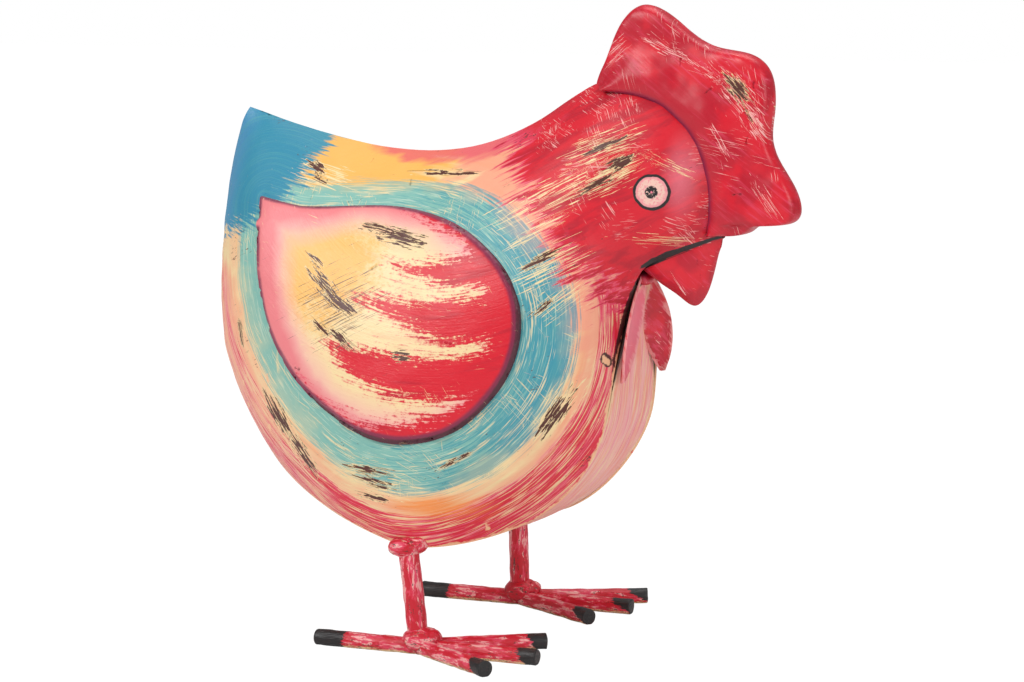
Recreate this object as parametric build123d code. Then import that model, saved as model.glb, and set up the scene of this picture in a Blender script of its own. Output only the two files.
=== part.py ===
"""Garden rooster: a hollow sheet-steel bird on rod legs, in millimetres, +Z up, beak towards +X."""
from build123d import *
from math import cos, hypot, radians, sin
import os

os.makedirs("parts", exist_ok=True)

# ---- overall sizes --------------------------------------------------------------------------
BODY_SCALE = 1.0          # whole sheet-metal body, about the point between the two hips
HALF_BREADTH = 69.0       # half of the body at its widest
HIP_HALF_WIDTH = 61.5     # half width of the breast plate at the hips
CHEST_HALF_WIDTH = 30.0   # half width of the breast plate at the front of the chest
FRAME_SHIFT = 4.5         # puts the middle of the figure's length on the origin

# ---- sheet ----------------------------------------------------------------------------------
SHEET = 1.0               # gauge of the side shells, plate, comb, beak and wings
WATTLE_SHEET = 1.2
LIP = 0.9                 # how far the side shells stand proud of the breast plate
PLATE_GAP = 0.2           # clearance between the breast plate's edge and the side shells
PLATE_BOW = 0.035         # outward bow of the breast plate, as a share of its half width
SEAM_FLARE = 1.25         # the inner skin stays clear of the middle plane by this share of a gauge

# ---- comb, beak, wing -----------------------------------------------------------------------
COMB_HALF = 9.5           # half thickness of the comb about the middle of its lobes
WING_RISE = 2.6           # how high the wing panel stands off the side shell
WING_CENTRE = (-40, 160)
BEAK_HALF = 11.0          # half width of the beak along the mouth
BEAK_SWELL = 1.1          # how far the beak puffs out past that

# ---- wattles --------------------------------------------------------------------------------
WATTLE_LENGTH = 50.0
WATTLE_WIDTH = 19.0
WATTLE_TOP = (71.5, 4.5, 183.0)
WATTLE_SPLAY = 20.5       # how far each wattle's lower end leans outwards
WATTLE_LEAN = 1.0         # how far it leans back
WATTLE_CURL = 2.2         # depth of its hollow
RIGHT_TURN = 88.0         # turn of each leaf about its length, in degrees
LEFT_TURN = 60.0
THROAT = (71, 181.5)      # tack weld that holds both wattles
THROAT_TACK = (4.5, 7.0, 3.5)

# ---- legs and feet --------------------------------------------------------------------------
LEG_ROD = 10.0
TOE_ROD = 8.0
TOE_FLAT = 0.2            # depth worn off the underside of each toe
FRONT_TOE = 63.0          # ankle to the end of the middle toe
HIND_TOE = 56.0
HIP_HEIGHT = 55.0         # top end of each leg rod
HIP_X = -25.0
RIGHT_ANKLE = (-20.0, -65.0)
LEFT_ANKLE = (-26.0, 67.4)
RIGHT_HIP = (-26.0, -65.0)
LEFT_HIP = (-26.5, 65.5)
RIGHT_TOES = ((36, 63), (-33.5, 61))      # turn in degrees and length of the inner and outer toe
LEFT_TOES = ((-32, 63), (27.8, 66.5))
TOE_AXIS = TOE_ROD / 2 - TOE_FLAT

# Weld lumps, each with its half sizes. An ankle lump is placed from the ankle on the ground. A
# hip lump is placed ahead of the hip, at a share of the hip's distance out, and below its top.
ANKLE_LUMPS = [((1.5, 0.0, 7.5), (9.8, 8.2, 6.3)), ((7.2, 0.0, 8.6), (4.6, 5.2, 4.4))]
HIP_LUMPS = [((-1.5, 1.0, -3.0), (8.4, 7.2, 5.2)), ((4.2, 0.96, -1.8), (4.6, 4.6, 4.4))]

# Handles of a rib's curve: how far down the rib and how far out they stand.
UPPER_DOWN, UPPER_OUT = 0.20, 0.88
LOWER_DOWN, LOWER_OUT = 0.78, 1.02

# Stations of a side shell from the tail to the brow: the ridge (x, z), the lower edge (x, z),
# the half width at the lower edge as a share of its named size, and the fullness as a share
# of the half breadth.
HIP, CHEST = HIP_HALF_WIDTH, CHEST_HALF_WIDTH
STATIONS = [
    ((-146, 259.5), (-151, 250), 0.0, 0.022),
    ((-139, 257.5), (-156, 231), 0.0, 0.09),
    ((-126, 253.5), (-158.5, 205), 0.0, 0.28),
    ((-109, 249), (-159, 165), 0.0, 0.52),
    ((-91, 245), (-152.5, 121), 0.03 * HIP, 0.75),
    ((-74, 242), (-119, 84.5), 0.42 * HIP, 0.90),
    ((-57, 240.5), (-70, 62.5), 0.84 * HIP, 0.98),
    ((-40, 240.5), (-20, 52), 1.0 * HIP, 1.0),
    ((-21, 243), (18, 60), 1.17 * CHEST, 0.97),
    ((-3, 248.5), (45, 80), 0.95 * CHEST, 0.88),
    ((15, 257), (61, 106), 1.0 * CHEST, 0.76),
    ((32, 268), (66, 134), 0.93 * CHEST, 0.62),
    ((48, 276.5), (68.5, 166), 0.55 * CHEST, 0.50),
    ((66, 279), (75, 187), 0.40 * CHEST, 0.42),
    ((86, 273.5), (89, 193), 0.36 * CHEST, 0.36),
    ((101, 260), (100, 197.5), 0.28 * CHEST, 0.27),
    ((111, 241.5), (107, 200.5), 0.17 * CHEST, 0.15),
    ((115, 221), (111.5, 202.5), 0.07 * CHEST, 0.06),
]
PLATE_FIRST, PLATE_LAST = 4, 12.5   # stations between which the breast plate closes the body

# Outer edge of the comb from the nape over three lobes to the brow, and the line on the head
# that each point faces.
COMB_EDGE = [
    (47.5, 276.5), (50.5, 284.5), (55, 296), (60.5, 307), (69, 313.7), (80.5, 311), (93, 302),
    (104, 295.5), (115, 293), (126.5, 290.5), (134, 284), (136.8, 273), (136, 260), (136.5, 247),
    (143, 235), (150, 221.5), (150, 214), (142, 210), (128, 208), (113, 204),
]
COMB_ROOT = [
    (53, 272), (57, 272), (62, 271.5), (67, 271), (72, 270), (78, 268), (84, 265),
    (89, 261), (93, 257), (96.5, 253), (99.5, 248.5), (102, 243.5), (104, 238), (105.5, 232),
    (106.5, 226), (107, 220), (107.3, 215), (107.3, 211), (107, 207.5), (106, 204.5),
]

# Section of the comb from its edge to its root: how far across, and the half thickness as a
# share of the named one. The lobes are nearly flat, and a roll swells out beside the head.
COMB_SECTION = [
    (0.0, 0.0), (0.02, 0.42), (0.09, 0.72), (0.22, 0.80), (0.38, 0.84), (0.54, 1.0),
    (0.70, 1.26), (0.84, 1.34), (0.93, 1.28), (1.0, 1.1),
]

# Mouth line and keel of the lower beak.
BEAK_RIBS = [
    ((73.5, 187.5), (76.5, 182.5), 0.80),
    ((81, 190.8), (85, 176), 1.0),
    ((90, 194.6), (92, 171.2), 1.0),
    ((98, 197.8), (97.5, 169.2), 0.85),
    ((104.5, 200.4), (102.5, 173.5), 0.55),
    ((108.5, 202), (107, 186), 0.30),
    ((111, 203), (110.5, 198), 0.10),
]

# Teardrop outline of the wing in side view, from its point round to the blunt end and back.
WING_TIP = (-121, 217.5)
WING_EDGE = [
    (-97, 213.8), (-71, 214.5), (-50, 215), (-30, 212.8), (-9, 207.5), (8, 198.5), (20, 188),
    (27.5, 176), (30.3, 163), (29, 149), (24, 136), (14, 122.5), (1.5, 111.5), (-15, 104.8),
    (-34, 104), (-51, 107.8), (-67, 116.2), (-83.5, 128), (-96.5, 142.5), (-106, 158.5),
    (-112, 176), (-117, 197),
]


def body_point(x, z):
    """Side-view point of the body at the chosen scale, about the hips."""
    return (HIP_X + (x - HIP_X) * BODY_SCALE, HIP_HEIGHT + (z - HIP_HEIGHT) * BODY_SCALE)


def bezier(p0, p1, p2, p3, t):
    """Point on the cubic through p0 and p3."""
    s = 1 - t
    weights = (s**3, 3 * s * s * t, 3 * s * t * t, t**3)
    return tuple(sum(w * p[k] for w, p in zip(weights, (p0, p1, p2, p3))) for k in range(3))


def bulge(edge_half, fullness):
    """How far out a rib's handles stand to bring its middle out to its fullness."""
    return (HALF_BREADTH * fullness - edge_half / 8) / (6 / 8)


def rib(top, bottom, edge_half, fullness, steps=9):
    """Points of one rib of a side shell, from the ridge down to the lower edge."""
    (xt, zt), (xb, zb) = body_point(*top), body_point(*bottom)
    full = bulge(edge_half, fullness)
    upper = (xt + UPPER_DOWN * (xb - xt), -UPPER_OUT * full, zt + UPPER_DOWN * (zb - zt))
    lower = (xt + LOWER_DOWN * (xb - xt), -LOWER_OUT * full, zt + LOWER_DOWN * (zb - zt))
    ends = (xt, 0.0, zt), (xb, -edge_half, zb)
    return [bezier(ends[0], upper, lower, ends[1], k / (steps - 1)) for k in range(steps)]


def skin(rows):
    """One smooth face through a grid of points."""
    return Face.make_surface_from_array_of_points([[Vector(*p) for p in row] for row in rows],
                                                  tol=0.05)


def unit(vector):
    """Vector of length one."""
    return vector / max(vector.length, 1e-9)


def inner_rows(rows, gauge, inward):
    """Grid one gauge behind a grid of points; seam edges stay on the middle plane."""
    last_row, last_col = len(rows) - 1, len(rows[0]) - 1
    moved = []
    for i, row in enumerate(rows):
        line = []
        for j, point in enumerate(row):
            here = Vector(*point)
            along = Vector(*rows[min(i + 1, last_row)][j]) - Vector(*rows[max(i - 1, 0)][j])
            across = Vector(*row[min(j + 1, last_col)]) - Vector(*row[max(j - 1, 0)])
            normal = unit(along.cross(across))
            if normal.dot(Vector(*inward)) < 0:
                normal = normal * -1
            if j in (0, last_col) and abs(point[1]) < 1e-6:
                normal = unit(Vector(normal.X, 0, normal.Z)) * SEAM_FLARE
            new = here + normal * gauge
            line.append((new.X, new.Y, new.Z))
        moved.append(line)
    return moved


def sheet(rows, gauge, inward):
    """Sheet-metal piece: a smooth skin, the skin one gauge behind it and the rim between."""
    outer = skin(rows)
    inner = skin(inner_rows(rows, gauge, inward))
    faces = [outer, inner]
    for edge in outer.edges():
        partner = min(inner.edges(), key=lambda other: (other.center() - edge.center()).length)
        faces.append(Face.make_surface_from_curves(edge, partner))
    return Solid(Shell(faces))


def largest(shape):
    """Biggest solid of a cut shape."""
    return max(shape.solids(), key=lambda solid: solid.volume)


def mirrored(shape):
    """The same piece for the other side of the body."""
    return shape.mirror(Plane.XZ)


def between(stations, place):
    """Station at a fractional place in the list, on the smooth curve through its neighbours."""
    i = min(int(place), len(stations) - 2)
    t = place - i
    near = [stations[max(0, min(i + k, len(stations) - 1))] for k in (-1, 0, 1, 2)]
    flat = [(*top, *bottom, half, full) for top, bottom, half, full in near]
    mixed = []
    for a, b, c, d in zip(*flat):
        slope_b, slope_c = (c - a) / 2, (d - b) / 2
        mixed.append(b + slope_b * t + (3 * (c - b) - 2 * slope_b - slope_c) * t**2
                     + (2 * (b - c) + slope_b + slope_c) * t**3)
    return (mixed[0], mixed[1]), (mixed[2], mixed[3]), max(mixed[4], 0.0), mixed[5]


def shell_rows(first=0.0, last=len(STATIONS) - 1.0):
    """Grid of the right side shell's outer skin, two ribs to a station."""
    count = int(round((last - first) * 2))
    return [rib(*between(STATIONS, first + k / 2)) for k in range(count + 1)]


def side_shell():
    """Right side shell, closed on the middle plane along the back, tail and brow."""
    return sheet(shell_rows(), SHEET, (0, 1, 0))


def plate_edge(place):
    """Lower edge of the side shell at a station: the point, the rib's direction, and how far
    out the plate reaches to meet the inside of the shell."""
    top, bottom, half, fullness = between(STATIONS, place)
    ahead, behind = between(STATIONS, place + 0.5), between(STATIONS, place - 0.5)
    run = Vector(ahead[1][0] - behind[1][0], ahead[2] - behind[2], ahead[1][1] - behind[1][1])
    (xt, zt), (xb, zb) = body_point(*top), body_point(*bottom)
    reach = hypot(xt - xb, zt - zb)
    dx, dz = (xt - xb) / reach, (zt - zb) / reach
    flare = (LOWER_OUT * bulge(half, fullness) - half) / ((1 - LOWER_DOWN) * reach)
    normal = run.cross(Vector(dx, flare, dz))
    wall = SHEET * normal.length / abs(normal.Y)
    return (xb, zb), (dx, dz), half + LIP * flare - wall - PLATE_GAP


def breast_plate(shells):
    """Leaf-shaped plate that closes the body from the tail under the belly to the throat."""
    rows = []
    for k in range(int(2 * (PLATE_LAST - PLATE_FIRST)) + 1):
        (xb, zb), (dx, dz), half = plate_edge(PLATE_FIRST + k / 2)
        row = []
        for m in range(-4, 5):
            inset = LIP - PLATE_BOW * half * (1 - (m / 4) ** 2)
            row.append((xb + dx * inset, half * m / 4, zb + dz * inset))
        rows.append(row)
    return largest(sheet(rows, SHEET, (-0.3, 0, 1)) - shells)


def comb_half(shell):
    """Right half of the puffed comb, seated on the head."""
    rows = []
    for edge, root in zip(COMB_EDGE, COMB_ROOT):
        (xe, ze), (xr, zr) = body_point(*edge), body_point(*root)
        rows.append([(xe + across * (xr - xe), -share * COMB_HALF, ze + across * (zr - ze))
                     for across, share in COMB_SECTION])
    comb = sheet(rows, SHEET, (0, 1, 0))
    return largest(comb - shell)


def beak_half(shell):
    """Right half of the lower beak, hung under the mouth line."""
    rows = []
    for mouth, keel, share in BEAK_RIBS:
        (xm, zm), (xk, zk) = body_point(*mouth), body_point(*keel)
        half = BEAK_HALF * share
        p1 = (xm + 0.3 * (xk - xm), -BEAK_SWELL * half, zm + 0.3 * (zk - zm))
        p2 = (xm + 0.85 * (xk - xm), -0.75 * half, zm + 0.85 * (zk - zm))
        rows.append([bezier((xm, -half, zm), p1, p2, (xk, 0.0, zk), k / 5) for k in range(6)])
    beak = sheet(rows, SHEET, (0, 1, 0))
    return largest(beak - shell)


def teardrop(inset):
    """Side-view block with the wing's outline, its edge moved in by the inset."""
    (xc, zc) = body_point(*WING_CENTRE)
    moved = []
    for x, z in [body_point(*p) for p in (WING_TIP, *WING_EDGE)]:
        reach = hypot(x - xc, z - zc)
        moved.append((x - inset * (x - xc) / reach, z - inset * (z - zc) / reach))
    outline = make_face([Spline(moved[1:]), Line(moved[0], moved[1]), Line(moved[-1], moved[0])])
    placed = Plane((0, 0, 0), x_dir=(1, 0, 0), z_dir=(0, -1, 0)) * outline
    return extrude(placed, amount=150, dir=(0, -1, 0))


def wing():
    """Right wing: a raised teardrop panel with its rim turned down on to the side shell."""
    rows = shell_rows(1.0, 12.5)
    full = sheet(rows, WING_RISE, (0, -1, 0)) & teardrop(0)
    hollow = sheet(rows, WING_RISE - SHEET, (0, -1, 0)) & teardrop(SHEET)
    return largest(full - hollow)


def wattle(side, turn, plate):
    """One leaf-shaped wattle with its inner edge curled, hanging from the throat."""
    rows = []
    count = 8
    c, s = cos(radians(turn)), sin(radians(turn))
    (top_x, top_y, top_z) = WATTLE_TOP
    for i in range(count + 1):
        down = i / count
        spread = WATTLE_WIDTH / 2 * max(0.16, sin(radians(180 * (0.04 + 0.93 * down))) ** 0.75)
        cx, cy = top_x - WATTLE_LEAN * down, top_y + WATTLE_SPLAY * down
        row = []
        for k in range(7):
            v = k / 3 - 1
            bow = WATTLE_CURL * (v * v - 1)
            x, z = body_point(cx + c * spread * v + s * bow, top_z - WATTLE_LENGTH * down)
            row.append((x, side * (cy + s * spread * v - c * bow), z))
        rows.append(row)
    leaf = sheet(rows, WATTLE_SHEET, (1, -0.4 * side, 0))
    return largest(leaf - plate)


def rod(start, end, diameter):
    """Round bar between two points."""
    axis = Vector(*end) - Vector(*start)
    plane = Plane(origin=start, z_dir=axis)
    return plane * Cylinder(diameter / 2, axis.length, align=(Align.CENTER, Align.CENTER, Align.MIN))


def toe(ankle, angle, length, tail=0.0):
    """Toe bar on the ground from the ankle, with its underside worn flat."""
    dx, dy = cos(radians(angle)), sin(radians(angle))
    start = (ankle[0] - tail * dx, ankle[1] - tail * dy, TOE_AXIS)
    end = (ankle[0] + length * dx, ankle[1] + length * dy, TOE_AXIS)
    ground = Pos(ankle[0], ankle[1], 50) * Box(400, 400, 100)
    return rod(start, end, TOE_ROD) & ground


def blob(centre, half_sizes):
    """Rounded lump of weld metal."""
    return Pos(*centre) * scale(Sphere(1.0), by=half_sizes)


def foot(name, ankle, hip_at, toes, shell, plate):
    """One leg with its foot bars and weld lumps."""
    (inner, inner_len), (outer, outer_len) = toes
    (ax, ay), (hx, hy) = ankle, hip_at
    bar = toe(ankle, 0, FRONT_TOE, HIND_TOE)
    side_toes = [largest(toe(ankle, inner, inner_len) - bar),
                 largest(toe(ankle, outer, outer_len) - bar)]
    leg = rod((ax, ay, TOE_AXIS), (hx, hy, HIP_HEIGHT), LEG_ROD)
    for other in [bar, *side_toes, shell, plate]:
        leg = largest(leg - other)
    low, low_side = [blob((ax + dx, ay + dy, dz), half) for (dx, dy, dz), half in ANKLE_LUMPS]
    lump = low + low_side
    for other in [bar, *side_toes, leg]:
        lump = largest(lump - other)
    high, high_side = [blob((hx + dx, hy * share, HIP_HEIGHT + dz), half)
                       for (dx, share, dz), half in HIP_LUMPS]
    hip = high + high_side
    for other in [leg, shell, plate]:
        hip = largest(hip - other)
    return {
        f"{name}_leg": leg,
        f"{name}_foot_bar": bar,
        f"{name}_inner_toe": side_toes[0],
        f"{name}_outer_toe": side_toes[1],
        f"{name}_ankle_weld": lump,
        f"{name}_hip_weld": hip,
    }


def build():
    """All pieces of the rooster by name."""
    right = side_shell()
    left = mirrored(right)
    plate = breast_plate([right, left])
    comb = comb_half(right)
    beak = beak_half(right)
    panel = wing()
    parts = {
        "side_shell_right": right,
        "side_shell_left": left,
        "breast_plate": plate,
        "comb_right": comb,
        "comb_left": mirrored(comb),
        "beak_right": beak,
        "beak_left": mirrored(beak),
        "wing_right": panel,
        "wing_left": mirrored(panel),
        "wattle_right": wattle(-1, RIGHT_TURN, plate),
        "wattle_left": wattle(1, LEFT_TURN, plate),
    }
    (throat_x, throat_z) = body_point(*THROAT)
    tack = blob((throat_x, 0, throat_z), THROAT_TACK)
    for other in (right, left, plate, beak, mirrored(beak), parts["wattle_right"],
                  parts["wattle_left"]):
        tack = largest(tack - other)
    parts["throat_weld"] = tack
    parts.update(foot("right", RIGHT_ANKLE, RIGHT_HIP, RIGHT_TOES, right, plate))
    parts.update(foot("left", LEFT_ANKLE, LEFT_HIP, LEFT_TOES, left, plate))
    return parts


for node, shape in build().items():
    export_step(Pos(FRAME_SHIFT, 0, 0) * shape, f"parts/{node}.step")
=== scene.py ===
"""Hand-painted, hammered sheet-steel rooster: its looks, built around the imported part."""

from __future__ import annotations

import logging
import math
from dataclasses import dataclass
from enum import Enum

import bmesh
import bpy
import numpy as np
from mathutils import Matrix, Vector, noise
from mathutils.bvhtree import BVHTree
from mathutils.kdtree import KDTree

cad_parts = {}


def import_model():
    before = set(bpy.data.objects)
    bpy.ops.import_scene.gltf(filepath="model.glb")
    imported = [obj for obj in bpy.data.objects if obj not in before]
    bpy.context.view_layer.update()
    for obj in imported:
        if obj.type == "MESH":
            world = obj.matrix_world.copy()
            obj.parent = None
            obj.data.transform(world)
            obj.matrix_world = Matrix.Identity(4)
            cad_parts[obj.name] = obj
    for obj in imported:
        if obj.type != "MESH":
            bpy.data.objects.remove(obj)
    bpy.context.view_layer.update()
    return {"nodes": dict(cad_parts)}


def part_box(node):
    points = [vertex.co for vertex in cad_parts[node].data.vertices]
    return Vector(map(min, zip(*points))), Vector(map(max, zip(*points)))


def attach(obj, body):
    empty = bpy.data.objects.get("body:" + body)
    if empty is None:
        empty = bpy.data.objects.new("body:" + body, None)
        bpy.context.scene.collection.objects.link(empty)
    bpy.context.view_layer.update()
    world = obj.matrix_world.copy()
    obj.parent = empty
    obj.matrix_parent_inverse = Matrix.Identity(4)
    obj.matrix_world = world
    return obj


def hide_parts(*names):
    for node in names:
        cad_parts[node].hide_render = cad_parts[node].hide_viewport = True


LOG = logging.getLogger("rooster")
MM = 0.001
PER_MM = 1000.0
SIDES = (("right", -1.0), ("left", 1.0))
MERGE = 0.002    # vertices nearer than this are one, in millimetres
SEATED = 0.12    # a wing's vertex this near the shell lies on its outline, in millimetres
NOWHERE = -20.0  # level of a paint that a piece doesn't have

Socket = bpy.types.NodeSocket
BMesh = bmesh.types.BMesh
Levels = dict[str, np.ndarray]


class Paint(Enum):
    """The pots of paint, the primer and the bare parts, as sRGB hex."""

    CREAM = "#EFD4A0"
    PEACH = "#EFB98F"
    SALMON = "#F09C80"
    PINK = "#EC8090"
    PALE_PINK = "#F0AEA8"
    ROSE = "#E04463"
    RED = "#D60F27"
    DEEP_RED = "#B60A26"
    GOLD = "#EFAE48"
    ORANGE = "#F28A38"
    TURQUOISE = "#7FB6AA"
    TEAL = "#4C9BA2"
    LAGOON = "#338FA6"
    BLUE = "#2B86A3"
    MIST = "#BBD4C0"
    PERIWINKLE = "#4F8FBF"
    PLUM = "#6A2346"
    PRIMER = "#55291F"
    BLACK = "#1D1A1B"
    EYE = "#EFC3B4"
    GREY = "#57413C"


def linear(colour: str) -> tuple[float, float, float, float]:
    """Turns an sRGB hex colour to linear light.

    Args:
        colour: hex colour such as "#D8202F".

    Returns:
        Linear red, green, blue and an alpha of 1.
    """
    values = [int(colour[k : k + 2], 16) / 255 for k in (1, 3, 5)]
    light = [v / 12.92 if v <= 0.04045 else ((v + 0.055) / 1.055) ** 2.4 for v in values]
    return (*light, 1.0)


# --------------------------------------------------------------------------------------------
# Paint graph
# --------------------------------------------------------------------------------------------


class PaintGraph:
    """Node tree of a material or world, with the few moves that every painted layer shares."""

    def __init__(self, owner: bpy.types.Material | bpy.types.World) -> None:
        """Empties the node tree of the given material or world."""
        self.owner = owner
        owner.use_nodes = True
        self.tree = owner.node_tree
        self.tree.nodes.clear()

    def add(self, kind: str, inputs: dict | None = None, out: str | int = 0, **settings) -> Socket:
        """Adds one node with its settings, values and links.

        Args:
            kind: node type.
            inputs: socket name or index to a value or to another node's output.
            out: the output to hand back.
            **settings: properties of the node.

        Returns:
            The chosen output socket.
        """
        node = self.tree.nodes.new(kind)
        for name, value in settings.items():
            setattr(node, name, value)
        for key, value in (inputs or {}).items():
            if isinstance(value, Socket):
                self.tree.links.new(value, node.inputs[key])
            else:
                node.inputs[key].default_value = value
        return node.outputs[out] if node.outputs else node

    def place(self) -> Socket:
        """The point on the piece, in metres, in the figure's own frame."""
        return self.add("ShaderNodeTexCoord", out="Object")

    def level(self, name: str) -> Socket:
        """A paint level stored on the mesh, in millimetres."""
        return self.add("ShaderNodeAttribute", out="Fac", attribute_name=name)

    def flow(self) -> Socket:
        """The brush's path stored on the mesh: two turning parts and one across it, in metres."""
        return self.add("ShaderNodeAttribute", out="Vector", attribute_name="flow")

    def grain(self, where: Socket, size: tuple, detail: float = 2.0, rough: float = 0.55,
              turn: tuple = (0.0, 0.0, 0.0), shift: float = 0.0, bend: float = 0.0) -> Socket:
        """Mottled value from 0 to 1, stretched to the given size in millimetres along each axis.

        Args:
            where: vector socket, in metres.
            size: length of one mark along each axis, in millimetres.
            detail: octaves.
            rough: share that each finer octave keeps.
            turn: turn of the axes before the stretch, in degrees.
            shift: offset that gives each layer marks of its own.
            bend: how far marks wander off straight.

        Returns:
            Factor socket.
        """
        turned = self.add("ShaderNodeMapping", {
            "Vector": where, "Rotation": tuple(math.radians(a) for a in turn)})
        scaled = self.add("ShaderNodeMapping", {
            "Vector": turned, "Location": (shift, shift * 0.7, -shift),
            "Scale": tuple(PER_MM / s for s in size)})
        return self.add("ShaderNodeTexNoise", {
            "Vector": scaled, "Scale": 1.0, "Detail": detail, "Roughness": rough,
            "Distortion": bend})

    def ragged(self, level: Socket, streak: Socket, reach: float, soft: float = 1.5) -> Socket:
        """Edge of a painted zone, broken up by bristle marks.

        Args:
            level: distance inside the zone, in millimetres.
            streak: bristle marks from 0 to 1.
            reach: how far the marks throw the edge, in millimetres.
            soft: width of the blend, in millimetres.

        Returns:
            Cover from 0 to 1.
        """
        total = self.add("ShaderNodeMath", {0: streak, 1: reach, 2: level}, operation="MULTIPLY_ADD")
        return self.add("ShaderNodeMapRange", {
            "Value": total, "From Min": reach / 2 - soft / 2, "From Max": reach / 2 + soft / 2})

    def window(self, value: Socket, low: float, high: float, top: float = 1.0) -> Socket:
        """Smooth step of a value between two limits, up to the given top."""
        return self.add("ShaderNodeMapRange", {
            "Value": value, "From Min": low, "From Max": high, "To Max": top},
            interpolation_type="SMOOTHSTEP")

    def maths(self, operation: str, a: Socket, b: Socket | float = 0.0,
              c: Socket | float = 0.0) -> Socket:
        """One sum on up to three values."""
        return self.add("ShaderNodeMath", {0: a, 1: b, 2: c}, operation=operation)

    def blend(self, a: Socket, a_share: float, b: Socket, b_share: float) -> Socket:
        """Sum of two values, each by its share."""
        return self.maths("MULTIPLY_ADD", a, a_share, self.maths("MULTIPLY", b, b_share))

    def over(self, below: Socket | Paint, paint: Socket | Paint, cover: Socket,
             share: float = 1.0) -> Socket:
        """Lays one paint over another.

        Args:
            below: what is painted over.
            paint: what goes on.
            cover: where it goes, from 0 to 1.
            share: how much of the coat below it hides.

        Returns:
            Colour socket.
        """
        base, top = (linear(c.value) if isinstance(c, Paint) else c for c in (below, paint))
        if share < 1.0:
            cover = self.maths("MULTIPLY", cover, share)
        return self.add("ShaderNodeMixRGB", {"Fac": cover, "Color1": base, "Color2": top})

    def finish(self, colour: Socket, roughness: Socket | float, height: Socket,
               depth: float) -> bpy.types.Material:
        """Closes the material with a satin paint surface.

        Args:
            colour: colour socket.
            roughness: roughness socket or value.
            height: relief from 0 to 1.
            depth: full depth of the relief, in millimetres.

        Returns:
            The material.
        """
        bump = self.add("ShaderNodeBump", {"Height": height, "Strength": 1.0,
                                           "Distance": depth * MM}, out="Normal")
        shader = self.add("ShaderNodeBsdfPrincipled", {
            "Base Color": colour, "Roughness": roughness, "Normal": bump, "IOR": 1.5})
        self.add("ShaderNodeOutputMaterial", {"Surface": shader})
        return self.owner


def torn(graph: PaintGraph, colour: Socket, name: str, below: Paint, above: Paint | None = None,
         size: tuple = (10.0, 1.1, 40.0), strength: float = 0.25,
         hair: float = 0.13) -> tuple[Socket, Socket]:
    """Tears marks through the paint that run along each mark's own length.

    Args:
        graph: the material's graph.
        colour: the paint so far.
        name: level on the mesh, 1 in the middle of a mark and -1 well outside; its own
            coordinates have the same name with "_at" added.
        below: colour that shows in the marks.
        above: colour of the thin edge of the coat between, if there is one.
        size: length, width and depth of one tear, in millimetres.
        strength: how far the level raises the cover.
        hair: how far it raises the cover of the thinnest marks.

    Returns:
        Colour socket and cover of the bare marks.
    """
    where = graph.add("ShaderNodeAttribute", out="Vector", attribute_name=name + "_at")
    tears = graph.grain(where, size, 3.0, 0.62, bend=0.25)
    hairs = graph.grain(where, (size[0] * 1.7, size[1] * 0.42, size[2]), 1.0, 0.5, shift=3.0)
    deep = graph.maths("MULTIPLY_ADD", graph.level(name), strength, tears)
    thin = graph.maths("MULTIPLY_ADD", graph.level(name), hair, hairs)
    if above:
        colour = graph.over(colour, above, graph.window(deep, 0.62, 0.65))
    cover = graph.maths("MAXIMUM", graph.window(deep, 0.665, 0.685), graph.window(thin, 0.73, 0.75, 0.9))
    return graph.over(colour, below, cover), cover


def scratched(graph: PaintGraph, colour: Socket, place: Socket, amount: Socket | float,
              tint: Paint = Paint.PALE_PINK, turn: float = -20.0, length: float = 15.0) -> Socket:
    """Draws clusters of fine scratches that show the coat below.

    Args:
        graph: the material's graph.
        colour: the paint so far.
        place: object coordinates.
        amount: how many scratches, from 0 to 1.
        tint: colour of the coat that they show.
        turn: main direction of the scratches in side view, in degrees.
        length: length of a scratch, in millimetres.

    Returns:
        Colour socket.
    """
    for k, angle in enumerate((turn, turn + 24.0, turn - 38.0)):
        lines = graph.grain(place, (length, 6.0, 0.40), 2.0, 0.6, (0.0, angle, 0.0), 3.3 * k, 0.12)
        where = graph.grain(place, (24.0, 24.0, 24.0), 1.0, 0.5, shift=1.7 + 2.1 * k)
        gate = graph.maths("MULTIPLY", graph.window(where, 0.53, 0.66), amount)
        cut = graph.window(graph.maths("MULTIPLY_ADD", gate, 0.15, lines), 0.745, 0.79, 0.85)
        colour = graph.over(colour, tint, cut)
    return colour


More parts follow.
